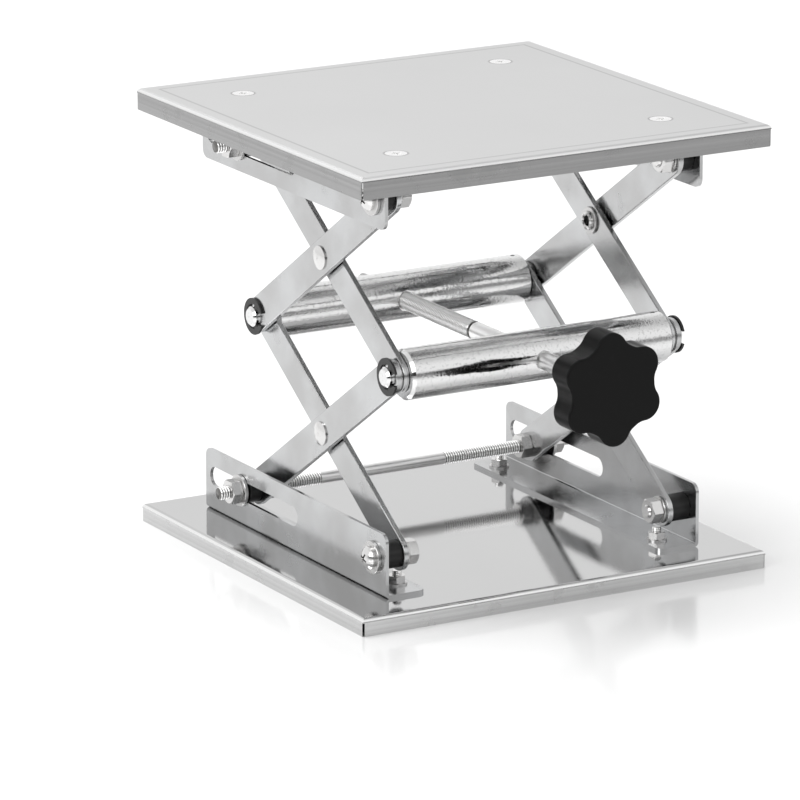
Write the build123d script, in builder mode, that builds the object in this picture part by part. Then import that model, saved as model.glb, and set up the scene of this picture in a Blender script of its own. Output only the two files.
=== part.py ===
from build123d import *
import os
from math import asin, cos, radians, sin, sqrt

# Laboratory lifting jack: two square plates, a scissor of flat arms on each side,
# two round bars between the scissors and one screw that draws the bars together.
# X runs along the bars, the knob is on the -Y side, +Z is up, origin under the base's middle.

# Plates
PLATE_SIDE = 200.0
PLATE_SHEET = 1.2
BASE_SKIRT = 8.0
TOP_SKIRT = 9.5
PLATE_BEND = 2.0
CORNER_SLIT = 1.0

# Scissor arms
ARM_PITCH = 141.0
ARM_WIDTH = 15.0
ARM_THICK = 2.5
ARM_EDGE = 0.4
REST_ANGLE = 33.5
INNER_ARM_X = 64.6
OUTER_ARM_X = 68.0

# Pivot lines, all along X
PIVOT_RISE = 16.0
FIXED_Y = -70.0
SLIDING_Y = FIXED_Y + ARM_PITCH * cos(radians(REST_ANGLE))
BASE_Z = BASE_SKIRT + PIVOT_RISE
BAR_Z = BASE_Z + ARM_PITCH * sin(radians(REST_ANGLE))
TOP_Z = 2 * BAR_Z - BASE_Z
HEIGHT = TOP_Z + PIVOT_RISE + PLATE_SHEET
RIVET_Y = (FIXED_Y + SLIDING_Y) / 2
LOWER_RIVET_Z = (BASE_Z + BAR_Z) / 2
UPPER_RIVET_Z = (BAR_Z + TOP_Z) / 2

# Slotted angle brackets
BRACKET_X = 78.0
BRACKET_SHEET = 1.5
BRACKET_LENGTH = 161.0
BRACKET_HEIGHT = 28.0
FLANGE_EDGE_X = 58.0
BRACKET_CORNER = 4.0
SLOT_MIDDLE_Y = 36.5
SLOT_LENGTH = 80.0
SLOT_HEIGHT = 8.8

# M4 flange fasteners, four on each plate
FLANGE_SCREW_X = 65.0
FLANGE_SCREW_Y = 67.0
FLANGE_SCREW_RADIUS = 2.0
BASE_HEAD_RADIUS = 3.8
PLATFORM_HEAD_RADIUS = 4.8
FLANGE_SCREW_LENGTH = 8.7
FLANGE_WASHER_RADIUS = 4.5
FLANGE_WASHER_THICK = 0.8
FLANGE_NUT_ACROSS = 7.0
FLANGE_NUT_THICK = 3.2

# M6 pivots and tie rods
PIVOT_RADIUS = 3.0
RUNNING_FIT = 0.06
FIXED_FIT = 0.1
JOINT_GAP = 0.05
BUSH_RADIUS = 6.0
BUSH_NOSE_RADIUS = 4.1
WASHER_RADIUS = 7.1
WASHER_THICK = 1.5
INNER_WASHER_RADIUS = 6.0
INNER_WASHER_THICK = 1.0
HEAD_RADIUS = 5.0
HEAD_DOME = 2.4
NUT_ACROSS = 10.0
NUT_THICK = 5.0
TIE_ROD_END_X = 89.5
TIE_ROD_BLANK_LEFT = -39.0
TIE_ROD_BLANK_RIGHT = 24.0
TIE_ROD_RUNOUT = 0.5
TIE_ROD_CHAMFER = 0.8
TIE_ROD_MIDDLE_RADIUS = 2.7

# Bars and their retaining clips
BAR_RADIUS = 11.0
BAR_SHOULDER_X = 64.4
BAR_CHAMFER = 1.2
PIN_CHAMFER = 1.0
PIN_RADIUS = 4.5
PIN_END_X = 73.2
GROOVE_RADIUS = 4.0
CLIP_X = 70.6
CLIP_THICK = 1.0
CLIP_RADIUS = 8.15
SCREW_BORE_RADIUS = 4.05
SCREW_MOUTH_RADIUS = 4.7
SCREW_MOUTH_DEPTH = 1.4
DIMPLE_X = 60.0

# Lead screw and knob
SCREW_RADIUS = 4.0
SCREW_REAR_Y = 78.0
THREAD_START_Y = -20.3
UNDERCUT_RADIUS = 3.1
RETAINING_GROOVE_RADIUS = 3.0
RETAINING_GROOVE_WIDTH = 2.9
KNOB_FRONT_Y = -136.0
KNOB_THICK = 13.5
KNOB_LOBES = 6
KNOB_FIRST_LOBE = 93.0
KNOB_TIP_RADIUS = 24.7
KNOB_LOBE_RADIUS = 7.5
KNOB_BODY_RADIUS = 20.2
KNOB_BLEND = 8.0
INSERT_RADIUS = 6.0
INSERT_FIT = 0.03
INSERT_LENGTH = 10.95
INSERT_BORE_DEPTH = 10.55
KNOB_FRONT_ROUND = 0.8
KNOB_BACK_ROUND = 1.6
KNOB_RIM_RADIUS = 16.0
KNOB_HUB_RADIUS = 9.0
KNOB_HOLLOW_DEPTH = 6.0


def across_plane(y, z):
    """Plane through a pivot line, its x along world X and its y upward."""
    return Plane(origin=(0, y, z), x_dir=(1, 0, 0), z_dir=(0, -1, 0))


def turned_x(points, y, z):
    """Solid of revolution about a line along X: each point is (x, radius)."""
    with BuildPart() as turned:
        with BuildSketch(across_plane(y, z)):
            with BuildLine():
                Polyline(*points, close=True)
            make_face()
        revolve(axis=Axis((0, y, z), (1, 0, 0)))
    return turned.part


def ring_x(start, thick, radius, bore, y, z):
    """Flat ring, washer or spacer with its axis along X and lightly broken edges."""
    soft = min(0.15, thick / 6)
    return turned_x(
        [
            (start, bore),
            (start, radius - soft),
            (start + soft, radius),
            (start + thick - soft, radius),
            (start + thick, radius - soft),
            (start + thick, bore),
        ],
        y,
        z,
    )


def nut(plane, across, thick, bore):
    """Hexagon nut standing on a plane, both faces chamfered."""
    chamfer_width = across * 0.07
    with BuildPart() as blank:
        with BuildSketch(plane):
            RegularPolygon(across / 2, 6, major_radius=False)
            Circle(bore, mode=Mode.SUBTRACT)
        extrude(amount=thick)
        with BuildSketch(plane):
            Circle(across / 2 + chamfer_width)
        extrude(amount=thick, mode=Mode.INTERSECT)
    with BuildPart() as chamfered:
        with BuildSketch(plane):
            Circle(across / 2 + chamfer_width)
        extrude(amount=thick)
        chamfer(chamfered.edges(), chamfer_width * 0.55, chamfer_width)
        add(blank.part, mode=Mode.INTERSECT)
    return chamfered.part


def plane_at(x, y, z):
    """Plane facing +X at a point on a pivot line."""
    return Plane(origin=(x, y, z), x_dir=(0, 1, 0), z_dir=(1, 0, 0))


def dome_middle(x, radius, rise):
    """Point halfway along the arc of a spherical cap that stands on x."""
    sphere = (radius**2 + rise**2) / (2 * rise)
    half_angle = asin(radius / sphere) / 2
    return (x + rise - sphere + sphere * cos(half_angle), sphere * sin(half_angle))


def folded_plate(deck_z, skirt):
    """Square sheet folded down along four edges, with a narrow slit at each corner."""
    with BuildPart() as plate:
        with BuildSketch(Plane.XY.offset(deck_z)):
            Rectangle(PLATE_SIDE, PLATE_SIDE)
        extrude(amount=-skirt)
        fillet(plate.faces().sort_by(Axis.Z)[-1].edges(), PLATE_BEND)
        offset(amount=-PLATE_SHEET, openings=plate.faces().sort_by(Axis.Z)[0])
        with BuildSketch(Plane.XY.offset(deck_z - skirt)):
            with PolarLocations(PLATE_SIDE / sqrt(2), 4, start_angle=45):
                Rectangle(4 * PLATE_SHEET, CORNER_SLIT)
        extrude(amount=skirt - PLATE_BEND, mode=Mode.SUBTRACT)
    return plate.part


def angle_bracket(plate_z, side, head_radius):
    """Angle with its upright outward, standing on a plate; side is +1 right, -1 left."""
    with BuildPart() as bracket:
        with BuildSketch(Plane.XZ.offset(BRACKET_LENGTH / 2)) as profile:
            with BuildLine():
                Polyline(
                    (FLANGE_EDGE_X, plate_z),
                    (BRACKET_X, plate_z),
                    (BRACKET_X, plate_z + BRACKET_HEIGHT),
                    (BRACKET_X - BRACKET_SHEET, plate_z + BRACKET_HEIGHT),
                    (BRACKET_X - BRACKET_SHEET, plate_z + BRACKET_SHEET),
                    (FLANGE_EDGE_X, plate_z + BRACKET_SHEET),
                    close=True,
                )
            make_face()
            fillet(profile.vertices().sort_by_distance((BRACKET_X, plate_z))[0], PLATE_BEND)
            inner_bend = (BRACKET_X - BRACKET_SHEET, plate_z + BRACKET_SHEET)
            fillet(profile.vertices().sort_by_distance(inner_bend)[0], PLATE_BEND - BRACKET_SHEET)
        extrude(amount=-BRACKET_LENGTH)
        fillet(bracket.edges().filter_by(Axis.X).group_by(Axis.Z)[-1], BRACKET_CORNER)
        fillet(bracket.edges().filter_by(Axis.Z).group_by(Axis.X)[0], BRACKET_CORNER)
        with BuildSketch(Plane.YZ.offset(FLANGE_EDGE_X + BRACKET_CORNER)):
            with Locations((SLOT_MIDDLE_Y, plate_z + PIVOT_RISE)):
                SlotOverall(SLOT_LENGTH, SLOT_HEIGHT)
            with Locations((FIXED_Y, plate_z + PIVOT_RISE)):
                Circle(PIVOT_RADIUS + 2 * FIXED_FIT)
        extrude(amount=BRACKET_X - FLANGE_EDGE_X, mode=Mode.SUBTRACT)
        cone_left = head_radius - PLATE_SHEET + JOINT_GAP
        with Locations(Plane((FLANGE_SCREW_X, 0, plate_z), z_dir=(0, 0, -1))):
            with GridLocations(1, 2 * FLANGE_SCREW_Y, 1, 2):
                CounterSinkHole(FLANGE_SCREW_RADIUS + FIXED_FIT, cone_left, counter_sink_angle=90)
    if side > 0:
        return bracket.part
    return bracket.part.mirror(Plane.YZ)


def arm(x, slope, middle_z, hole_low, hole_high):
    """Flat round-ended arm with three pivot holes; slope +1 rises toward the rear."""
    low_y, high_y = (FIXED_Y, SLIDING_Y) if slope > 0 else (SLIDING_Y, FIXED_Y)
    half_rise = (BAR_Z - BASE_Z) / 2
    with BuildPart() as flat:
        with BuildSketch(Plane.YZ.offset(x)):
            with Locations(Location((RIVET_Y, middle_z, 0), (0, 0, slope * REST_ANGLE))):
                SlotCenterToCenter(ARM_PITCH, ARM_WIDTH)
        extrude(amount=ARM_THICK)
        fillet(flat.faces().sort_by(Axis.X)[-1].edges(), ARM_EDGE)
        fillet(flat.faces().sort_by(Axis.X)[0].edges(), ARM_EDGE)
        with BuildSketch(Plane.YZ.offset(x)):
            with Locations((low_y, middle_z - half_rise)):
                Circle(hole_low + RUNNING_FIT)
            with Locations((RIVET_Y, middle_z)):
                Circle(PIVOT_RADIUS + RUNNING_FIT)
            with Locations((high_y, middle_z + half_rise)):
                Circle(hole_high + RUNNING_FIT)
        extrude(amount=ARM_THICK, mode=Mode.SUBTRACT)
    return flat.part


def flange_stack(head_radius):
    """Countersunk M4 screw under the base sheet, upward through sheet, flange, washer and nut."""
    head_z = BASE_SKIRT - PLATE_SHEET
    corner = (FLANGE_SCREW_X, FLANGE_SCREW_Y)
    plane = Plane(origin=(*corner, 0), x_dir=(1, 0, 0), z_dir=(0, -1, 0))
    with BuildPart() as screw:
        with BuildSketch(plane):
            with BuildLine():
                Polyline(
                    (0, head_z),
                    (head_radius, head_z),
                    (FLANGE_SCREW_RADIUS, head_z + head_radius - FLANGE_SCREW_RADIUS),
                    (FLANGE_SCREW_RADIUS, head_z + FLANGE_SCREW_LENGTH - 0.4),
                    (FLANGE_SCREW_RADIUS - 0.4, head_z + FLANGE_SCREW_LENGTH),
                    (0, head_z + FLANGE_SCREW_LENGTH),
                    close=True,
                )
            make_face()
        revolve(axis=Axis((*corner, 0), (0, 0, 1)))
        with BuildSketch(Plane((*corner, head_z))):
            Rectangle(4.4, 0.9)
            Rectangle(0.9, 4.4)
        extrude(amount=0.9, taper=12, mode=Mode.SUBTRACT)
    return screw.part


def four_corners(piece):
    """The same fastener at all four corners of a plate."""
    with BuildPart() as group:
        add(piece)
        mirror(about=Plane.YZ)
        mirror(about=Plane.XZ)
    return group.part


def both_sides(piece):
    """A right-hand piece and its mirror image on the left."""
    with BuildPart() as group:
        add(piece)
        mirror(about=Plane.YZ)
    return group.part


def to_platform(piece):
    """A piece of the base turned over to its place under the platform."""
    return piece.mirror(Plane.XY.offset(BAR_Z))


def finish(piece, name):
    """Name a finished piece and write it."""
    piece.part.label = name
    export_step(piece.part, f"parts/{name}.step")


os.makedirs("parts", exist_ok=True)

# ---- Base: folded sheet plate ----
head_grid = (2 * FLANGE_SCREW_X, 2 * FLANGE_SCREW_Y, 2, 2)
under_deck = BASE_SKIRT - PLATE_SHEET
with BuildPart() as base_plate:
    add(folded_plate(BASE_SKIRT, BASE_SKIRT))
    with Locations(Plane((0, 0, under_deck), z_dir=(0, 0, -1))):
        with GridLocations(*head_grid):
            CounterSinkHole(
                FLANGE_SCREW_RADIUS + FIXED_FIT, BASE_HEAD_RADIUS + JOINT_GAP, counter_sink_angle=90
            )
finish(base_plate, "base_plate")

# ---- Platform: deeper skirt, countersinks in its upper face ----
with BuildPart() as top_plate:
    add(folded_plate(HEIGHT, TOP_SKIRT))
    with Locations(Plane.XY.offset(HEIGHT)):
        with GridLocations(*head_grid):
            CounterSinkHole(
                FLANGE_SCREW_RADIUS + FIXED_FIT, PLATFORM_HEAD_RADIUS + JOINT_GAP, counter_sink_angle=90
            )
finish(top_plate, "top_plate")

# ---- Slotted angle brackets, two on the base and two under the platform ----
for side, side_name in ((1, "right"), (-1, "left")):
    with BuildPart() as base_bracket:
        add(angle_bracket(BASE_SKIRT, side, BASE_HEAD_RADIUS))
    finish(base_bracket, f"base_bracket_{side_name}")
    with BuildPart() as top_bracket:
        add(to_platform(angle_bracket(BASE_SKIRT, side, PLATFORM_HEAD_RADIUS)))
    finish(top_bracket, f"top_bracket_{side_name}")

# ---- Flange fasteners: screws, washers and nuts, four of each on both plates ----
washer_z = BASE_SKIRT + BRACKET_SHEET
nut_z = washer_z + FLANGE_WASHER_THICK
with BuildPart() as base_flange_screws:
    add(four_corners(flange_stack(BASE_HEAD_RADIUS)))
finish(base_flange_screws, "base_flange_screws")

with BuildPart() as top_flange_screws:
    add(to_platform(four_corners(flange_stack(PLATFORM_HEAD_RADIUS))))
finish(top_flange_screws, "top_flange_screws")

with BuildPart() as base_flange_washers:
    with BuildSketch(Plane.XY.offset(washer_z)):
        with GridLocations(*head_grid):
            Circle(FLANGE_WASHER_RADIUS)
            Circle(FLANGE_SCREW_RADIUS + FIXED_FIT, mode=Mode.SUBTRACT)
    extrude(amount=FLANGE_WASHER_THICK)
finish(base_flange_washers, "base_flange_washers")

with BuildPart() as top_flange_washers:
    add(to_platform(base_flange_washers.part))
finish(top_flange_washers, "top_flange_washers")

nut_plane = Plane((FLANGE_SCREW_X, FLANGE_SCREW_Y, nut_z))
with BuildPart() as base_flange_nuts:
    add(four_corners(nut(nut_plane, FLANGE_NUT_ACROSS, FLANGE_NUT_THICK, FLANGE_SCREW_RADIUS + 0.02)))
finish(base_flange_nuts, "base_flange_nuts")

with BuildPart() as top_flange_nuts:
    add(to_platform(base_flange_nuts.part))
finish(top_flange_nuts, "top_flange_nuts")

# ---- Scissor arms: each layer is a left and right pair ----
arm_layers = {
    "lower_inner_arm": (INNER_ARM_X, 1, LOWER_RIVET_Z, PIVOT_RADIUS, PIN_RADIUS),
    "lower_outer_arm": (OUTER_ARM_X, -1, LOWER_RIVET_Z, PIVOT_RADIUS, PIN_RADIUS),
    "upper_inner_arm": (INNER_ARM_X, 1, UPPER_RIVET_Z, PIN_RADIUS, PIVOT_RADIUS),
    "upper_outer_arm": (OUTER_ARM_X, -1, UPPER_RIVET_Z, PIN_RADIUS, PIVOT_RADIUS),
}
for arm_name, layout in arm_layers.items():
    right_arm = arm(*layout)
    with BuildPart() as arm_right:
        add(right_arm)
    finish(arm_right, f"{arm_name}_right")
    with BuildPart() as arm_left:
        add(right_arm.mirror(Plane.YZ))
    finish(arm_left, f"{arm_name}_left")

# ---- Centre rivets: domed head outside, flared tubular tail inside, washers between ----
RIVET_HEAD_X = OUTER_ARM_X + ARM_THICK + JOINT_GAP
RIVET_HEAD_RADIUS = 5.2
RIVET_DOME_X = RIVET_HEAD_X + 0.6
RIVET_DOME = 1.1
RIVET_TAIL_X = INNER_ARM_X - INNER_WASHER_THICK - 2 * JOINT_GAP
SPACER_X = INNER_ARM_X + ARM_THICK + JOINT_GAP
SPACER_THICK = OUTER_ARM_X - SPACER_X - JOINT_GAP


def rivet(z):
    """Semi-tubular rivet through the crossing of an inner and an outer arm."""
    with BuildPart() as body:
        with BuildSketch(across_plane(RIVET_Y, z)):
            with BuildLine():
                Polyline(
                    (RIVET_TAIL_X + 3.0, 0),
                    (RIVET_TAIL_X + 3.0, 2.0),
                    (RIVET_TAIL_X - 1.0, 2.3),
                    (RIVET_TAIL_X - 1.5, 3.0),
                    (RIVET_TAIL_X - 1.0, 4.1),
                    (RIVET_TAIL_X, 4.3),
                    (RIVET_TAIL_X, PIVOT_RADIUS),
                    (RIVET_HEAD_X, PIVOT_RADIUS),
                    (RIVET_HEAD_X, RIVET_HEAD_RADIUS),
                    (RIVET_DOME_X, RIVET_HEAD_RADIUS),
                )
                ThreePointArc(
                    (RIVET_DOME_X, RIVET_HEAD_RADIUS),
                    dome_middle(RIVET_DOME_X, RIVET_HEAD_RADIUS, RIVET_DOME),
                    (RIVET_DOME_X + RIVET_DOME, 0),
                )
                Line((RIVET_DOME_X + RIVET_DOME, 0), (RIVET_TAIL_X + 3.0, 0))
            make_face()
        revolve(axis=Axis((0, RIVET_Y, z), (1, 0, 0)))
    return body.part


for level, rivet_z in (("lower", LOWER_RIVET_Z), ("upper", UPPER_RIVET_Z)):
    with BuildPart() as rivets:
        add(both_sides(rivet(rivet_z)))
    finish(rivets, f"{level}_rivets")
    washer = ring_x(
        RIVET_TAIL_X + JOINT_GAP,
        INNER_WASHER_THICK,
        INNER_WASHER_RADIUS,
        PIVOT_RADIUS + FIXED_FIT,
        RIVET_Y,
        rivet_z,
    )
    with BuildPart() as rivet_washers:
        add(both_sides(washer))
    finish(rivet_washers, f"{level}_rivet_washers")
    spacer = ring_x(SPACER_X, SPACER_THICK, BUSH_RADIUS, PIVOT_RADIUS + FIXED_FIT, RIVET_Y, rivet_z)
    with BuildPart() as rivet_spacers:
        add(both_sides(spacer))
    finish(rivet_spacers, f"{level}_rivet_spacers")


# ---- Cross bars: shouldered, with pins for the arms and a bore for the lead screw ----
def bar(y):
    """Round bar with a stepped, grooved pin at each end and a bore along Y."""
    with BuildPart() as half:
        add(
            turned_x(
                [
                    (0, 0),
                    (0, BAR_RADIUS),
                    (BAR_SHOULDER_X - BAR_CHAMFER, BAR_RADIUS),
                    (BAR_SHOULDER_X, BAR_RADIUS - BAR_CHAMFER),
                    (BAR_SHOULDER_X, PIN_RADIUS),
                    (CLIP_X - JOINT_GAP, PIN_RADIUS),
                    (CLIP_X - JOINT_GAP, GROOVE_RADIUS),
                    (CLIP_X + CLIP_THICK + JOINT_GAP, GROOVE_RADIUS),
                    (CLIP_X + CLIP_THICK + JOINT_GAP, PIN_RADIUS),
                    (PIN_END_X - PIN_CHAMFER, PIN_RADIUS),
                    (PIN_END_X, PIN_RADIUS - PIN_CHAMFER),
                    (PIN_END_X, 0),
                ],
                y,
                BAR_Z,
            )
        )
        mirror(about=Plane.YZ)
        with BuildSketch(Plane.XZ.offset(-y)):
            with Locations((0, BAR_Z)):
                Circle(SCREW_BORE_RADIUS)
        extrude(amount=BAR_RADIUS, both=True, mode=Mode.SUBTRACT)
        for face in (-1, 1):
            with BuildSketch(Plane.XZ.offset(face * BAR_RADIUS - y)):
                with Locations((0, BAR_Z)):
                    Circle(SCREW_MOUTH_RADIUS)
            extrude(amount=-face * SCREW_MOUTH_DEPTH, mode=Mode.SUBTRACT)
        with Locations(Plane((DIMPLE_X, y, BAR_Z + BAR_RADIUS))):
            Hole(1.0, depth=1.2)
    return half.part


def retaining_clip(y):
    """E-clip: an open ring with three lugs that bear in the pin's groove."""
    with BuildPart() as clip:
        with BuildSketch(plane_at(CLIP_X, y, BAR_Z)):
            Circle(CLIP_RADIUS)
            Circle(GROOVE_RADIUS + 1.6, mode=Mode.SUBTRACT)
            with PolarLocations(GROOVE_RADIUS + 1.4, 3, start_angle=0, angular_range=360):
                Rectangle(2.8, 2.6)
            Circle(GROOVE_RADIUS + JOINT_GAP, mode=Mode.SUBTRACT)
            with Locations(Location((0, 0, 0), (0, 0, 180))):
                with Locations((CLIP_RADIUS, 0)):
                    Rectangle(2 * CLIP_RADIUS - 7.0, 5.6, mode=Mode.SUBTRACT)
        extrude(amount=CLIP_THICK)
    return clip.part


with BuildPart() as rear_bar:
    add(bar(SLIDING_Y))
finish(rear_bar, "rear_bar")

with BuildPart() as front_bar:
    add(bar(FIXED_Y))
    with Locations(Plane((0, FIXED_Y, BAR_Z - BAR_RADIUS), z_dir=(0, 0, -1))):
        Hole(FLANGE_SCREW_RADIUS + JOINT_GAP, depth=BAR_RADIUS - SCREW_RADIUS + 1)
finish(front_bar, "front_bar")

for bar_name, bar_y in (("rear_bar", SLIDING_Y), ("front_bar", FIXED_Y)):
    with BuildPart() as bar_clips:
        add(both_sides(retaining_clip(bar_y)))
    finish(bar_clips, f"{bar_name}_clips")
    thin_washer = ring_x(SPACER_X, SPACER_THICK, BUSH_RADIUS + 0.5, PIN_RADIUS + FIXED_FIT, bar_y, BAR_Z)
    with BuildPart() as bar_spacers:
        add(both_sides(thin_washer))
    finish(bar_spacers, f"{bar_name}_spacers")

# ---- Grub screw under the front bar; its dog point runs in the lead screw's groove ----
with BuildPart() as screw_retaining_pin:
    with BuildSketch(Plane((0, FIXED_Y, BAR_Z), x_dir=(1, 0, 0), z_dir=(0, -1, 0))):
        with BuildLine():
            Polyline(
                (0, -RETAINING_GROOVE_RADIUS - 0.1),
                (1.25, -RETAINING_GROOVE_RADIUS - 0.1),
                (1.25, -SCREW_RADIUS - 0.6),
                (FLANGE_SCREW_RADIUS, -SCREW_RADIUS - 1.2),
                (FLANGE_SCREW_RADIUS, -BAR_RADIUS + 1.0),
                (0, -BAR_RADIUS + 1.0),
                close=True,
            )
        make_face()
    revolve(axis=Axis((0, FIXED_Y, 0), (0, 0, 1)))
    with BuildSketch(Plane((0, FIXED_Y, BAR_Z - BAR_RADIUS + 1.0))):
        RegularPolygon(1.0, 6, major_radius=False)
    extrude(amount=2.0, mode=Mode.SUBTRACT)
finish(screw_retaining_pin, "screw_retaining_pin")


# ---- Tie rods with locknuts, slot bushes, washers and outer nuts ----
def tie_rod(z):
    """Rod threaded at both ends, its middle left at the smaller blank diameter."""
    chamfered = PIVOT_RADIUS - TIE_ROD_CHAMFER
    return turned_x(
        [
            (-TIE_ROD_END_X, 0),
            (-TIE_ROD_END_X, chamfered),
            (TIE_ROD_CHAMFER - TIE_ROD_END_X, PIVOT_RADIUS),
            (TIE_ROD_BLANK_LEFT - TIE_ROD_RUNOUT, PIVOT_RADIUS),
            (TIE_ROD_BLANK_LEFT, TIE_ROD_MIDDLE_RADIUS),
            (TIE_ROD_BLANK_RIGHT, TIE_ROD_MIDDLE_RADIUS),
            (TIE_ROD_BLANK_RIGHT + TIE_ROD_RUNOUT, PIVOT_RADIUS),
            (TIE_ROD_END_X - TIE_ROD_CHAMFER, PIVOT_RADIUS),
            (TIE_ROD_END_X, chamfered),
            (TIE_ROD_END_X, 0),
        ],
        SLIDING_Y,
        z,
    )


def slot_bush(start, z):
    """Spacer bush whose smaller nose runs in the bracket's slot."""
    shoulder = BRACKET_X - BRACKET_SHEET - 2 * JOINT_GAP
    nose_end = BRACKET_X + 2 * JOINT_GAP
    bush = turned_x(
        [
            (start, PIVOT_RADIUS + FIXED_FIT),
            (start, BUSH_RADIUS - 0.3),
            (start + 0.3, BUSH_RADIUS),
            (shoulder - 0.3, BUSH_RADIUS),
            (shoulder, BUSH_RADIUS - 0.3),
            (shoulder, BUSH_NOSE_RADIUS),
            (nose_end, BUSH_NOSE_RADIUS),
            (nose_end, PIVOT_RADIUS + FIXED_FIT),
        ],
        SLIDING_Y,
        z,
    )
    return both_sides(bush)


NUT_BORE = PIVOT_RADIUS + 0.02
SLOT_WASHER_X = BRACKET_X + 2 * JOINT_GAP + JOINT_GAP
OUTER_NUT_X = SLOT_WASHER_X + WASHER_THICK + JOINT_GAP
for level, rod_z, arm_x in (("lower", BASE_Z, OUTER_ARM_X), ("upper", TOP_Z, INNER_ARM_X)):
    with BuildPart() as rod:
        add(tie_rod(rod_z))
    finish(rod, f"{level}_tie_rod")
    inner_plane = plane_at(arm_x - JOINT_GAP - NUT_THICK, SLIDING_Y, rod_z)
    with BuildPart() as inner_nuts:
        add(both_sides(nut(inner_plane, NUT_ACROSS, NUT_THICK, NUT_BORE)))
    finish(inner_nuts, f"{level}_tie_rod_inner_nuts")
    with BuildPart() as slot_bushes:
        add(slot_bush(arm_x + ARM_THICK + JOINT_GAP, rod_z))
    finish(slot_bushes, f"{level}_slot_bushes")
    slot_washer = ring_x(
        SLOT_WASHER_X, WASHER_THICK, WASHER_RADIUS, PIVOT_RADIUS + FIXED_FIT, SLIDING_Y, rod_z
    )
    with BuildPart() as rod_washers:
        add(both_sides(slot_washer))
    finish(rod_washers, f"{level}_tie_rod_washers")
    outer_plane = plane_at(OUTER_NUT_X, SLIDING_Y, rod_z)
    with BuildPart() as outer_nuts:
        add(both_sides(nut(outer_plane, NUT_ACROSS, NUT_THICK, NUT_BORE)))
    finish(outer_nuts, f"{level}_tie_rod_outer_nuts")


# ---- Fixed pivots: pan-head screw, washers, spacer and nut ----
def pivot_screw(z, tip_x):
    """Pan-head screw from outside the bracket inward, with a cross recess."""
    seat = BRACKET_X + JOINT_GAP + WASHER_THICK + JOINT_GAP
    dome_x = seat + 1.2
    with BuildPart() as screw:
        with BuildSketch(across_plane(FIXED_Y, z)):
            with BuildLine():
                Polyline(
                    (tip_x, 0),
                    (tip_x, PIVOT_RADIUS - 0.7),
                    (tip_x + 0.7, PIVOT_RADIUS),
                    (seat, PIVOT_RADIUS),
                    (seat, HEAD_RADIUS),
                    (dome_x, HEAD_RADIUS),
                )
                ThreePointArc(
                    (dome_x, HEAD_RADIUS),
                    dome_middle(dome_x, HEAD_RADIUS, HEAD_DOME),
                    (dome_x + HEAD_DOME, 0),
                )
                Line((dome_x + HEAD_DOME, 0), (tip_x, 0))
            make_face()
        revolve(axis=Axis((0, FIXED_Y, z), (1, 0, 0)))
        with BuildSketch(plane_at(dome_x + HEAD_DOME, FIXED_Y, z)):
            with Locations(Location((0, 0, 0), (0, 0, 30))):
                Rectangle(4.8, 1.0)
                Rectangle(1.0, 4.8)
        extrude(amount=-2.2, taper=8, mode=Mode.SUBTRACT)
    return screw.part


BRACKET_WASHER_X = BRACKET_X + JOINT_GAP
SPACER_END_X = BRACKET_X - BRACKET_SHEET - JOINT_GAP
for level, pivot_z, arm_x in (("base", BASE_Z, INNER_ARM_X), ("top", TOP_Z, OUTER_ARM_X)):
    inner_washer_x = arm_x - JOINT_GAP - INNER_WASHER_THICK
    nut_x = inner_washer_x - JOINT_GAP - NUT_THICK
    spacer_x = arm_x + ARM_THICK + JOINT_GAP
    with BuildPart() as pivot_screws:
        add(both_sides(pivot_screw(pivot_z, nut_x - 1.0)))
    finish(pivot_screws, f"{level}_pivot_screws")
    outer_washer = ring_x(
        BRACKET_WASHER_X, WASHER_THICK, WASHER_RADIUS, PIVOT_RADIUS + FIXED_FIT, FIXED_Y, pivot_z
    )
    with BuildPart() as pivot_washers:
        add(both_sides(outer_washer))
    finish(pivot_washers, f"{level}_pivot_washers")
    pivot_spacer = ring_x(
        spacer_x, SPACER_END_X - spacer_x, BUSH_RADIUS, PIVOT_RADIUS + FIXED_FIT, FIXED_Y, pivot_z
    )
    with BuildPart() as pivot_spacers:
        add(both_sides(pivot_spacer))
    finish(pivot_spacers, f"{level}_pivot_spacers")
    inner_washer = ring_x(
        inner_washer_x,
        INNER_WASHER_THICK,
        INNER_WASHER_RADIUS,
        PIVOT_RADIUS + FIXED_FIT,
        FIXED_Y,
        pivot_z,
    )
    with BuildPart() as inner_washers:
        add(both_sides(inner_washer))
    finish(inner_washers, f"{level}_pivot_inner_washers")
    with BuildPart() as pivot_nuts:
        add(both_sides(nut(plane_at(nut_x, FIXED_Y, pivot_z), NUT_ACROSS, NUT_THICK, NUT_BORE)))
    finish(pivot_nuts, f"{level}_pivot_nuts")

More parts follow.
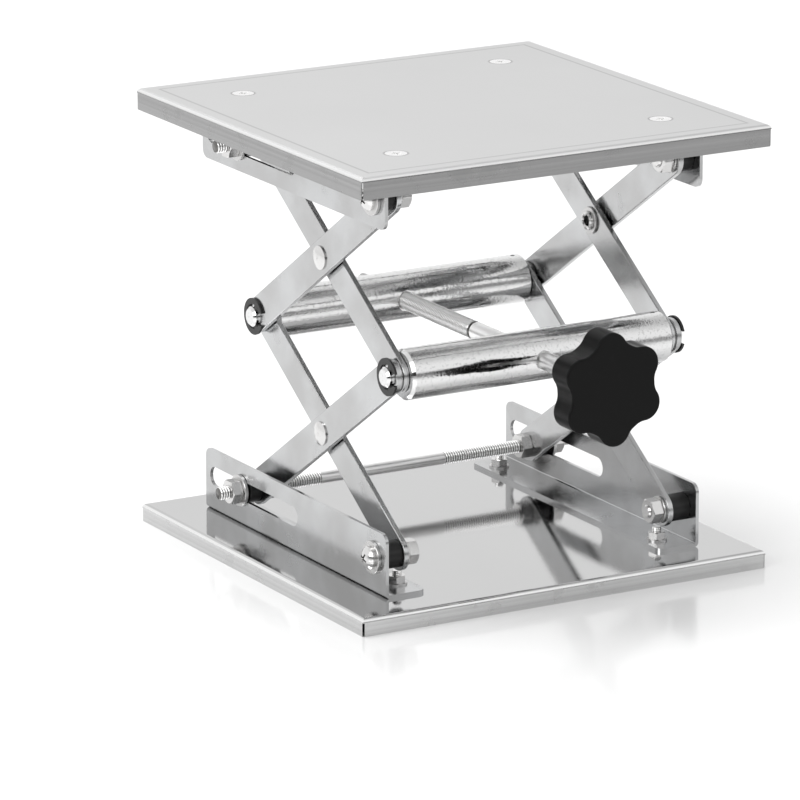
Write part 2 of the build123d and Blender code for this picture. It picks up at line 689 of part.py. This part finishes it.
# ---- Lead screw: plain shank at the knob end, thread behind the front bar ----
SHANK_FRONT_Y = KNOB_FRONT_Y + 3.0
groove_front = FIXED_Y - RETAINING_GROOVE_WIDTH / 2
groove_rear = FIXED_Y + RETAINING_GROOVE_WIDTH / 2
with BuildPart() as lead_screw:
    with BuildSketch(Plane.YZ.offset(0)):
        with BuildLine():
            Polyline(
                (SHANK_FRONT_Y, BAR_Z),
                (SHANK_FRONT_Y, BAR_Z + SCREW_RADIUS - 0.5),
                (SHANK_FRONT_Y + 0.5, BAR_Z + SCREW_RADIUS),
                (groove_front, BAR_Z + SCREW_RADIUS),
                (groove_front, BAR_Z + RETAINING_GROOVE_RADIUS),
                (groove_rear, BAR_Z + RETAINING_GROOVE_RADIUS),
                (groove_rear, BAR_Z + SCREW_RADIUS),
                (THREAD_START_Y - 3.0, BAR_Z + SCREW_RADIUS),
                (THREAD_START_Y - 2.5, BAR_Z + UNDERCUT_RADIUS),
                (THREAD_START_Y - 0.5, BAR_Z + UNDERCUT_RADIUS),
                (THREAD_START_Y, BAR_Z + SCREW_RADIUS),
                (SCREW_REAR_Y - 1.0, BAR_Z + SCREW_RADIUS),
                (SCREW_REAR_Y, BAR_Z + SCREW_RADIUS - 1.0),
                (SCREW_REAR_Y, BAR_Z),
                close=True,
            )
        make_face()
    revolve(axis=Axis((0, 0, BAR_Z), (0, 1, 0)))
finish(lead_screw, "lead_screw")

# ---- Knob: six-lobed star, solid front face, hollowed back round a central hub ----
knob_front = Plane((0, KNOB_FRONT_Y, BAR_Z), x_dir=(1, 0, 0), z_dir=(0, -1, 0))
knob_back = Plane((0, KNOB_FRONT_Y + KNOB_THICK, BAR_Z), x_dir=(1, 0, 0), z_dir=(0, -1, 0))
with BuildPart() as knob:
    with BuildSketch(knob_front) as star:
        Circle(KNOB_BODY_RADIUS)
        with PolarLocations(KNOB_TIP_RADIUS - KNOB_LOBE_RADIUS, KNOB_LOBES, start_angle=KNOB_FIRST_LOBE):
            Circle(KNOB_LOBE_RADIUS)
        fillet(star.vertices(), KNOB_BLEND)
    extrude(amount=-KNOB_THICK)
    fillet(knob.faces().sort_by(Axis.Y)[0].edges(), KNOB_FRONT_ROUND)
    fillet(knob.faces().sort_by(Axis.Y)[-1].edges(), KNOB_BACK_ROUND)
    with BuildSketch(knob_back):
        Circle(KNOB_RIM_RADIUS)
        Circle(KNOB_HUB_RADIUS, mode=Mode.SUBTRACT)
    extrude(amount=KNOB_HOLLOW_DEPTH, mode=Mode.SUBTRACT)
    with BuildSketch(knob_back):
        Circle(INSERT_RADIUS + JOINT_GAP)
    extrude(amount=INSERT_LENGTH + JOINT_GAP, mode=Mode.SUBTRACT)
finish(knob, "knob")

# ---- Threaded steel insert moulded into the knob's hub ----
with BuildPart() as knob_insert:
    with BuildSketch(knob_back):
        Circle(INSERT_RADIUS)
    extrude(amount=INSERT_LENGTH)
    with BuildSketch(knob_back):
        Circle(SCREW_RADIUS + INSERT_FIT)
    extrude(amount=INSERT_BORE_DEPTH, mode=Mode.SUBTRACT)
finish(knob_insert, "knob_insert")
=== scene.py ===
from math import cos, radians, sin, tau

import bpy
from mathutils import Matrix, Vector


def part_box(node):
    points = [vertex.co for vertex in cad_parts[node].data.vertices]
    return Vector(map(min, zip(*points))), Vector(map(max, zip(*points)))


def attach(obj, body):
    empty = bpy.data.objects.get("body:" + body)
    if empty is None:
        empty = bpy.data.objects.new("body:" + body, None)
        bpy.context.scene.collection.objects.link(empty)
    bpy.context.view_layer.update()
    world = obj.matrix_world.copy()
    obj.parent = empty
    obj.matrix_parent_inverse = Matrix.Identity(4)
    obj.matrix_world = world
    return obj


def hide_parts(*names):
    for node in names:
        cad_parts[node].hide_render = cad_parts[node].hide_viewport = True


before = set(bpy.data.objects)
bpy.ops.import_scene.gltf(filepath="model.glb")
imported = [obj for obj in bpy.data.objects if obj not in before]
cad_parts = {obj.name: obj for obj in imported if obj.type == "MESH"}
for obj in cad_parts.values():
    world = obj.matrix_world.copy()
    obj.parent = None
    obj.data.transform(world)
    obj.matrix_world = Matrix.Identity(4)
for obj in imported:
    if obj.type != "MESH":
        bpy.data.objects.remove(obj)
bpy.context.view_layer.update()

# ---- Base plate ----
# One stainless sheet with its four edges folded down, so that it stands on its skirts. Its deck
# is polished almost to a mirror and its skirts are brushed along their length; the corners are slit.


class Wire:
    """A socket that can be added, multiplied and compared; each sum becomes a Math node."""

    def __init__(self, graph, socket):
        self.graph = graph
        self.socket = socket

    def math(self, operation, *terms):
        return self.graph.node("ShaderNodeMath", {"operation": operation}, dict(enumerate(terms)))

    def __add__(self, other):
        return self.math("ADD", self, other)

    def __radd__(self, other):
        return self.math("ADD", other, self)

    def __sub__(self, other):
        return self.math("SUBTRACT", self, other)

    def __rsub__(self, other):
        return self.math("SUBTRACT", other, self)

    def __mul__(self, other):
        return self.math("MULTIPLY", self, other)

    def __truediv__(self, other):
        return self.math("DIVIDE", self, other)

    def __gt__(self, other):
        return self.math("GREATER_THAN", self, other)

    def __lt__(self, other):
        return self.math("LESS_THAN", self, other)

    def __abs__(self):
        return self.math("ABSOLUTE", self)

    def at_least(self, other):
        return self.math("MAXIMUM", self, other)

    def at_most(self, other):
        return self.math("MINIMUM", self, other)

    def fraction(self):
        return self.math("FRACT", self)

    def ramp(self, low, high, bottom=0.0, top=1.0):
        ends = {0: self, 1: low, 2: high, 3: bottom, 4: top}
        return self.graph.node("ShaderNodeMapRange", {"interpolation_type": "SMOOTHSTEP"}, ends)


class Graph:
    """The nodes of one material, world or geometry tree."""

    def __init__(self, tree):
        self.tree = tree
        tree.nodes.clear()

    def node(self, kind, settings=None, inputs=None, output=0):
        made = self.tree.nodes.new(kind)
        for name, value in (settings or {}).items():
            setattr(made, name, value)
        for name, value in (inputs or {}).items():
            if isinstance(value, Wire):
                self.tree.links.new(value.socket, made.inputs[name])
            else:
                made.inputs[name].default_value = value
        return Wire(self, made.outputs[output]) if len(made.outputs) else made

    def point(self):
        """Place on the piece, as three numbers in metres."""
        place = self.node("ShaderNodeTexCoord", output="Object")
        return [self.node("ShaderNodeSeparateXYZ", None, {0: place}, axis) for axis in "XYZ"]

    def vector(self, x, y, z):
        return self.node("ShaderNodeCombineXYZ", None, {0: x, 1: y, 2: z})

    def noise(self, scale, detail=3.0, stretch=(1, 1, 1)):
        """Fractal noise on the piece, stretched along any axis whose factor is under 1."""
        x, y, z = self.point()
        place = self.vector(x * stretch[0], y * stretch[1], z * stretch[2])
        settings = {"Vector": place, "Scale": scale, "Detail": detail}
        return self.node("ShaderNodeTexNoise", None, settings)

    def blend(self, amount, first, second):
        colours = {0: amount, 6: first, 7: second}
        return self.node("ShaderNodeMix", {"data_type": "RGBA"}, colours, 2)

    def bump(self, height, depth, strength=1.0):
        raised = {"Height": height, "Distance": depth, "Strength": strength}
        return self.node("ShaderNodeBump", None, raised)


def new_finish(name):
    """An empty material and the graph that draws it."""
    material = bpy.data.materials.new(name)
    material.use_nodes = True
    return material, Graph(material.node_tree)


def close_finish(graph, **sockets):
    """Principled surface with the given socket values, wired to the material's output."""
    named = {name.replace("_", " "): value for name, value in sockets.items()}
    surface = graph.node("ShaderNodeBsdfPrincipled", None, named)
    graph.node("ShaderNodeOutputMaterial", None, {"Surface": surface})


def put_on(material, *names):
    """Give carried-over CAD nodes a finished material."""
    for name in names:
        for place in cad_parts[name].material_slots:
            place.material = material


def grey(value, warmth=0.0):
    return (value + warmth, value, value - warmth, 1.0)


BEND_RADIUS = 0.0016
DECK_MARGIN = 0.0002
BEND_DROP = 0.001
DIMPLE_SHADE_WIDTH = 0.0012
BASE_HEAD_RADIUS = 0.0038
NO_BORDER = -0.01


def sheet_steel(name, plate, screws, head_radius, deck_roughness, deck_grey, skirt_grey, border):
    """Folded stainless sheet: its flat deck and its brushed skirts have different finishes. A painted
    highlight runs along the top fold, and painted shade rings each flush screw head.
    """
    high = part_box(plate)[1]
    screws_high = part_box(screws)[1]
    material, graph = new_finish(name)
    x, y, z = graph.point()
    deck = z.ramp(high[2] - BEND_RADIUS, high[2] - DECK_MARGIN)
    # Painted highlight: a bright line in the colour along the top fold of the sheet.
    bend_highlight = abs(z - (high[2] - BEND_DROP)).ramp(0.0003, 0.0008, 1.0, 0.0)
    along = abs(x) - (screws_high[0] - head_radius)
    across = abs(y) - (screws_high[1] - head_radius)
    from_screw = along * along + across * across
    rim = head_radius + DIMPLE_SHADE_WIDTH
    # Painted shade: a dark ring round each flush screw head, standing in for the shade in its
    # countersunk dimple.
    dimple_shade = from_screw.ramp(head_radius**2, rim**2, 1.0, 0.0) * deck
    streak = graph.noise(5.0, 4.0, (0.5, 0.5, 120.0))
    fine = graph.noise(2600.0, 2.0)
    cloud = graph.noise(14.0, 3.0)
    scuff = graph.noise(70.0, 6.0).ramp(0.52, 0.7)
    inset = abs(x).at_least(abs(y)) - (high[0] - border)
    line = abs(inset).ramp(0.0002, 0.0009, 1.0, 0.0) * deck
    deck_tone = graph.blend(cloud, grey(deck_grey * 0.94), grey(deck_grey))
    lined_deck = graph.blend(line * 0.55, deck_tone, grey(deck_grey * 0.5))
    deck_colour = graph.blend(dimple_shade * 0.6, lined_deck, grey(deck_grey * 0.3))
    skirt_tone = graph.blend(streak.ramp(0.3, 0.7), grey(skirt_grey * 0.82), grey(skirt_grey))
    skirt_colour = graph.blend(scuff * 0.4, skirt_tone, grey(skirt_grey * 0.8))
    deck_rough = deck_roughness + fine * deck_roughness * 0.3
    skirt_rough = 0.2 + streak * 0.08 + scuff * 0.08
    relief = fine * deck * 0.3 + streak * (1.0 - deck) * 0.3
    close_finish(
        graph,
        Base_Color=graph.blend(bend_highlight * 0.8, graph.blend(deck, skirt_colour, deck_colour), grey(0.9)),
        Metallic=1.0,
        Roughness=deck_rough * deck + skirt_rough * (1.0 - deck),
        Normal=graph.bump(relief, 0.00005, 0.4),
    )
    return material


polished_base = sheet_steel(
    "polished_base_sheet",
    "base_plate",
    "base_flange_screws",
    BASE_HEAD_RADIUS,
    deck_roughness=0.05,
    deck_grey=0.54,
    skirt_grey=0.62,
    border=NO_BORDER,
)
put_on(polished_base, "base_plate")

# ---- Angle brackets and scissor arms ----
# Strips of cold-rolled steel, punched, folded or rounded, then bright zinc plated. The plating is
# slightly cloudy, with fine drawing lines along each strip and a few dull handling marks.


def plated_sheet(name, tone, roughness, cloudiness):
    material, graph = new_finish(name)
    cloud = graph.noise(38.0, 5.0)
    grain = graph.noise(420.0, 3.0)
    marks = graph.noise(95.0, 6.0).ramp(0.56, 0.72)
    toned = graph.blend(cloud.ramp(0.3, 0.7), grey(tone * (1 - cloudiness)), grey(tone, -0.006))
    height = grain * 0.5 + cloud * 0.6
    close_finish(
        graph,
        Base_Color=toned,
        Metallic=1.0,
        Roughness=roughness + cloud * 0.12 + marks * 0.1,
        Normal=graph.bump(height, 0.00005, 0.6),
    )
    return material


plated_strip = plated_sheet("zinc_plated_strip", 0.56, 0.14, 0.2)
for layer in ("lower_inner", "lower_outer", "upper_inner", "upper_outer"):
    put_on(plated_strip, f"{layer}_arm_left", f"{layer}_arm_right")

plated_angle = plated_sheet("zinc_plated_angle", 0.54, 0.12, 0.2)
for level in ("base", "top"):
    put_on(plated_angle, f"{level}_bracket_left", f"{level}_bracket_right")

# ---- Cross bars ----
# Two turned steel bars, shouldered at the ends, with bright plating over a surface that the
# grinding left slightly pebbled, so reflections break into fine dark speckles.


def pebbled_chrome(name, tone):
    material, graph = new_finish(name)
    pebble = graph.noise(900.0, 2.0)
    patch = graph.noise(60.0, 3.0).ramp(0.42, 0.62)
    speck_pits_and_shade = pebble.ramp(0.56, 0.66)
    close_finish(
        graph,
        # The darker base colour at the specks is painted shade for the dark flecks of the broken
        # reflection; their roughness and the bump are the real pitting.
        Base_Color=graph.blend(speck_pits_and_shade * 0.35, grey(tone), grey(tone * 0.6)),
        Metallic=1.0,
        Roughness=0.08 + patch * 0.05 + speck_pits_and_shade * 0.1,
        Normal=graph.bump(pebble * (0.35 + patch * 0.65), 0.00018, 0.42),
    )
    return material


bar_plating = pebbled_chrome("bright_bar_plating", 0.74)
put_on(bar_plating, "front_bar", "rear_bar")

# ---- Bushes, spacers and clips ----
# The spacers on the fixed pivots and the bushes that run in the slots are turned from black
# plastic. The E-clips on the bar pins are spring steel with a black phosphate finish.


def black_plastic(name, tone, roughness, shine, grain_scale, grain_depth):
    material, graph = new_finish(name)
    grain = graph.noise(grain_scale, 3.0)
    dust = graph.noise(240.0, 5.0).ramp(0.62, 0.78)
    close_finish(
        graph,
        Base_Color=graph.blend(dust * 0.4, grey(tone), grey(tone * 2.2)),
        Roughness=roughness + grain * 0.1,
        Specular_IOR_Level=shine,
        Normal=graph.bump(grain, grain_depth, 0.5),
    )
    return material


bush_plastic = black_plastic("black_bush_plastic", 0.01, 0.3, 0.35, 900.0, 0.00004)
put_on(bush_plastic, "base_pivot_spacers", "top_pivot_spacers", "lower_slot_bushes", "upper_slot_bushes")

clip_black = black_plastic("black_phosphate", 0.014, 0.34, 0.4, 1400.0, 0.00003)
put_on(clip_black, "front_bar_clips", "rear_bar_clips")

# ---- Screws, nuts, washers and rivets ----
# Standard M4 and M6 hardware with bright zinc plating. The washers are stamped and slightly dull,
# the nuts and heads are brighter; the short bolt ends above the nuts carry their threads.


def plated_hardware(name, tone, roughness, thread_pitch=0.0):
    material, graph = new_finish(name)
    cloud = graph.noise(160.0, 4.0)
    height = cloud * 0.3
    if thread_pitch:
        x, y, z = graph.point()
        height = height + abs((z / thread_pitch).fraction() - 0.5) * 6.0
    close_finish(
        graph,
        Base_Color=graph.blend(cloud, grey(tone * 0.9, 0.004), grey(tone, 0.004)),
        Metallic=1.0,
        Roughness=roughness + cloud * 0.12,
        Normal=graph.bump(height, 0.00008, 0.7),
    )
    return material


nut_plating = plated_hardware("zinc_plated_nuts", 0.68, 0.14)
washer_plating = plated_hardware("zinc_plated_washers", 0.60, 0.22)
head_plating = plated_hardware("zinc_plated_heads", 0.72, 0.12)
flush_head = plated_hardware("flush_screw_heads", 0.86, 0.12, 0.0007)
for level in ("base", "top"):
    put_on(nut_plating, f"{level}_flange_nuts", f"{level}_pivot_nuts")
    put_on(flush_head, f"{level}_flange_screws")
    put_on(head_plating, f"{level}_pivot_screws")
    put_on(washer_plating, f"{level}_flange_washers", f"{level}_pivot_washers")
    put_on(washer_plating, f"{level}_pivot_inner_washers")
for level in ("lower", "upper"):
    put_on(nut_plating, f"{level}_tie_rod_inner_nuts", f"{level}_tie_rod_outer_nuts")
    put_on(washer_plating, f"{level}_tie_rod_washers", f"{level}_rivet_washers")
    put_on(washer_plating, f"{level}_rivet_spacers")
    put_on(head_plating, f"{level}_rivets")
put_on(washer_plating, "front_bar_spacers", "rear_bar_spacers")
put_on(head_plating, "screw_retaining_pin")

# ---- Threaded rods ----
# The two tie rods are M6, rolled with thread at both ends on a slightly thinner blank. The lead
# screw is M8: a plain shank through the front bar, a narrow undercut, then thread to its end.


UNDERCUT_FROM = 0.0028
UNDERCUT_TO = 0.0004
TIE_PLAIN_LEFT = -0.039
TIE_PLAIN_RIGHT = 0.024


def threaded_rod_tree(finish):
    """Rod along X: thread outside the smooth stretch, plain blank within it."""
    tree = bpy.data.node_groups.new("threaded_rod", "GeometryNodeTree")
    sizes = (
        "Start",
        "End",
        "Smooth From",
        "Smooth To",
        "Blank Radius",
        "Thread Radius",
        "Thread Depth",
        "Pitch",
        "Undercut",
    )
    for label in sizes:
        tree.interface.new_socket(label, in_out="INPUT", socket_type="NodeSocketFloat")
    for label in ("Around", "Rows"):
        tree.interface.new_socket(label, in_out="INPUT", socket_type="NodeSocketInt")
    tree.interface.new_socket("Geometry", in_out="OUTPUT", socket_type="NodeSocketGeometry")
    graph = Graph(tree)
    entry = tree.nodes.new("NodeGroupInput")
    given = {item.name: Wire(graph, item) for item in entry.outputs if item.name}
    grid = graph.node(
        "GeometryNodeMeshGrid",
        None,
        {"Size X": 1.0, "Size Y": 1.0, "Vertices X": given["Around"], "Vertices Y": given["Rows"]},
    )
    place = graph.node("GeometryNodeInputPosition")
    turn = graph.node("ShaderNodeSeparateXYZ", None, {0: place}, "X") + 0.5
    travel = graph.node("ShaderNodeSeparateXYZ", None, {0: place}, "Y") + 0.5
    along = given["Start"] + (given["End"] - given["Start"]) * travel
    flank = abs((along / given["Pitch"] - turn).fraction() - 0.5) * 2.0
    thread = given["Thread Radius"] - given["Thread Depth"] * flank.ramp(0.12, 0.92)
    smooth = (along > given["Smooth From"]) * (along < given["Smooth To"])
    undercut = (along > given["Smooth To"] - UNDERCUT_FROM) * (along < given["Smooth To"] - UNDERCUT_TO)
    radius = thread * (1.0 - smooth) + (given["Blank Radius"] - given["Undercut"] * undercut) * smooth
    from_end = (along - given["Start"]).at_most(given["End"] - along)
    chamfer = given["Thread Radius"] - given["Thread Depth"] + from_end
    capped = radius.at_most(chamfer) * (from_end > 0.00001)
    angle = turn * tau
    sine = angle.math("SINE", angle)
    cosine = angle.math("COSINE", angle)
    shaped = graph.node(
        "GeometryNodeSetPosition",
        None,
        {"Geometry": grid, "Position": graph.vector(along, capped * cosine, capped * sine)},
    )
    merged = graph.node("GeometryNodeMergeByDistance", None, {"Geometry": shaped, "Distance": 0.000001})
    soft = graph.node("GeometryNodeSetShadeSmooth", None, {"Geometry": merged})
    real = graph.node("GeometryNodeRealizeInstances", None, {"Geometry": soft})
    finished = graph.node("GeometryNodeSetMaterial", None, {"Geometry": real, "Material": finish})
    leave = tree.nodes.new("NodeGroupOutput")
    tree.links.new(finished.socket, leave.inputs[0])
    return tree


def rod_piece(name, tree, sizes, place):
    """Evaluate the rod tree with these sizes and keep the plain mesh, put in its place."""
    carrier = bpy.data.objects.new(name, bpy.data.meshes.new(name + "_carrier"))
    bpy.context.scene.collection.objects.link(carrier)
    modifier = carrier.modifiers.new("rod", "NODES")
    modifier.node_group = tree
    for item in tree.interface.items_tree:
        if item.in_out == "INPUT":
            modifier[item.identifier] = sizes[item.name]
    bpy.context.view_layer.update()
    evaluated = carrier.evaluated_get(bpy.context.evaluated_depsgraph_get())
    mesh = bpy.data.meshes.new_from_object(evaluated)
    carrier.modifiers.clear()
    mesh.name = name
    mesh.transform(place)
    carrier.data = mesh
    return carrier


def thread_finish(name, axis_y, axis_z, valley, crest):
    """Plating on a rod along X or Y; painted shade makes the bottoms of its thread darker than the
    crests.
    """
    material, graph = new_finish(name)
    x, y, z = graph.point()
    side = x if axis_y is None else y - axis_y
    across = z - axis_z
    square = side * side + across * across
    depth = square.math("SQRT", square)
    # Painted shade: the colour darkens down into the thread grooves and brightens on the crests.
    painted_groove_shade = depth.ramp(valley, crest)
    cloud = graph.noise(220.0, 4.0)
    bright = graph.blend(cloud, grey(0.84, 0.003), grey(0.95, 0.002))
    close_finish(
        graph,
        Base_Color=graph.blend(painted_groove_shade, grey(0.16, 0.004), bright),
        Metallic=1.0,
        Roughness=0.24 + cloud * 0.14,
        Normal=graph.bump(cloud, 0.00005, 0.3),
    )
    return material


for level, body in (("lower", "lower_outer_arms"), ("upper", "upper_inner_arms")):
    node_name = f"{level}_tie_rod"
    low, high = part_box(node_name)
    axis_y, axis_z = (low[1] + high[1]) / 2, (low[2] + high[2]) / 2
    plating = thread_finish(f"{level}_rod_plating", axis_y, axis_z, 0.00248, 0.00268)
    axis_place = Matrix.Translation((0, axis_y, axis_z))
    tie_rod = rod_piece(
        f"{level}_threaded_tie_rod",
        threaded_rod_tree(plating),
        {
            "Start": low[0],
            "End": high[0],
            "Smooth From": TIE_PLAIN_LEFT,
            "Smooth To": TIE_PLAIN_RIGHT,
            "Blank Radius": 0.00272,
            "Thread Radius": 0.003,
            "Thread Depth": 0.00052,
            "Pitch": 0.0012,
            "Undercut": 0.0,
            "Around": 21,
            "Rows": 1433,
        },
        axis_place,
    )
    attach(tie_rod, body)
    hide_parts(node_name)

low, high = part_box("lead_screw")
SCREW_THREAD_START = -0.0203
axis_z = (low[2] + high[2]) / 2
plating = thread_finish("lead_screw_plating", None, axis_z, 0.00338, 0.00378)
screw_axis = Matrix.Translation((0, 0, axis_z)) @ Matrix.Rotation(radians(90), 4, "Z")
lead_screw = rod_piece(
    "threaded_lead_screw",
    threaded_rod_tree(plating),
    {
        "Start": low[1],
        "End": high[1],
        "Smooth From": low[1] - 0.001,
        "Smooth To": SCREW_THREAD_START,
        "Blank Radius": 0.004,
        "Thread Radius": 0.004,
        "Thread Depth": 0.00068,
        "Pitch": 0.00125,
        "Undercut": 0.0009,
        "Around": 25,
        "Rows": 1351,
    },
    screw_axis,
)
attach(lead_screw, "screw")
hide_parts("lead_screw")

# ---- Knob ----
# Six-lobed star moulded in black phenolic, with a plain flat face and a soft satin skin. A steel
# insert in its hub screws onto the front of the lead screw.
knob_skin = black_plastic("black_knob_skin", 0.004, 0.26, 0.12, 1600.0, 0.00004)
put_on(knob_skin, "knob")


insert_plating = plated_hardware("turned_insert", 0.6, 0.24)
put_on(insert_plating, "knob_insert")

# ---- Platform ----
# The same folded sheet with a deeper skirt. Its upper face is finely bead-finished to a pale matt
# grey, with a faint line that runs round just inside the edge, and four flush screw heads, each
# ringed by painted shade; a painted highlight runs along the top fold.
PLATFORM_HEAD_RADIUS = 0.0048
BORDER_INSET = 0.0074
matt_platform = sheet_steel(
    "matt_platform_sheet",
    "top_plate",
    "top_flange_screws",
    PLATFORM_HEAD_RADIUS,
    deck_roughness=0.34,
    deck_grey=0.58,
    skirt_grey=0.36,
    border=BORDER_INSET,
)
put_on(matt_platform, "top_plate")

# ---- Bench, light and camera ----
# A plain white bench, a large soft light overhead and one at the left, and a pale room that is
# dark only at eye level behind the camera, which is what the bright metal mirrors.
bench_mesh = bpy.data.meshes.new("bench")
reach = 9.0
corners = [(-reach, -reach, 0), (reach, -reach, 0), (reach, reach, 0), (-reach, reach, 0)]
bench_mesh.from_pydata(corners, [], [(0, 1, 2, 3)])
bench = bpy.data.objects.new("bench", bench_mesh)
bpy.context.scene.collection.objects.link(bench)


def bench_laminate():
    material, graph = new_finish("white_laminate")
    faint = graph.noise(3.0, 2.0)
    close_finish(graph, Base_Color=graph.blend(faint, grey(0.84), grey(0.87)), Roughness=0.12)
    return material


bench_mesh.materials.append(bench_laminate())

AZIMUTH = radians(29.72)
ELEVATION = radians(15.24)
ROLL = radians(-0.1)
DISTANCE = 2.6811
AIM_RIGHT = -0.02278
AIM_UP = -0.03026
LENS_PIXELS = 6165.2
FRAME_PIXELS = 800.0

look = Vector((sin(AZIMUTH) * cos(ELEVATION), cos(AZIMUTH) * cos(ELEVATION), -sin(ELEVATION)))
level_right = look.cross(Vector((0, 0, 1))).normalized()
level_up = level_right.cross(look)
right = level_right * cos(ROLL) + level_up * sin(ROLL)
up = level_up * cos(ROLL) - level_right * sin(ROLL)
stand = Vector((0, 0, 0.1)) + right * AIM_RIGHT + up * AIM_UP - look * DISTANCE
camera_data = bpy.data.cameras.new("camera")
camera = bpy.data.objects.new("camera", camera_data)
bpy.context.scene.collection.objects.link(camera)
facing = Matrix((right, up, -look)).transposed().to_4x4()
camera.matrix_world = Matrix.Translation(stand) @ facing
camera_data.sensor_width = 36.0
camera_data.lens = 36.0 * LENS_PIXELS / FRAME_PIXELS
camera_data.shift_x = 0.0033
camera_data.shift_y = -0.0087
bpy.context.scene.camera = camera


def soft_light(name, spot, size, watts):
    """Square area light aimed at the middle of the jack."""
    data = bpy.data.lights.new(name, "AREA")
    data.size = size
    data.energy = watts
    lamp = bpy.data.objects.new(name, data)
    lamp.location = spot
    aim = Vector((0, 0, 0.1)) - Vector(spot)
    lamp.rotation_euler = aim.to_track_quat("-Z", "Y").to_euler()
    bpy.context.scene.collection.objects.link(lamp)


soft_light("overhead_softbox", (-0.3, 0.5, 1.9), 1.3, 26.0)
soft_light("left_softbox", (-1.7, -0.6, 0.9), 0.9, 9.0)


def room(world):
    """Pale surroundings, darker in a band at eye level on the camera's side."""
    graph = Graph(world.node_tree)
    ray = graph.node("ShaderNodeTexCoord", output="Generated")
    x, y, z = [graph.node("ShaderNodeSeparateXYZ", None, {0: ray}, axis) for axis in "XYZ"]
    toward_camera = x * -sin(AZIMUTH) + y * -cos(AZIMUTH)
    band = abs(z - 0.02).ramp(0.10, 0.26, 1.0, 0.0) * toward_camera.ramp(0.15, 0.7)
    ceiling = z.ramp(0.55, 0.95)
    pale = graph.blend(ceiling, grey(0.95), grey(0.55))
    colour = graph.blend(band, pale, grey(0.03))
    shine = graph.node("ShaderNodeBackground", None, {"Color": colour, "Strength": 1.1})
    graph.node("ShaderNodeOutputWorld", None, {"Surface": shine})


studio = bpy.data.worlds.new("studio")
studio.use_nodes = True
bpy.context.scene.world = studio
room(studio)
bpy.context.scene.view_settings.view_transform = "Standard"
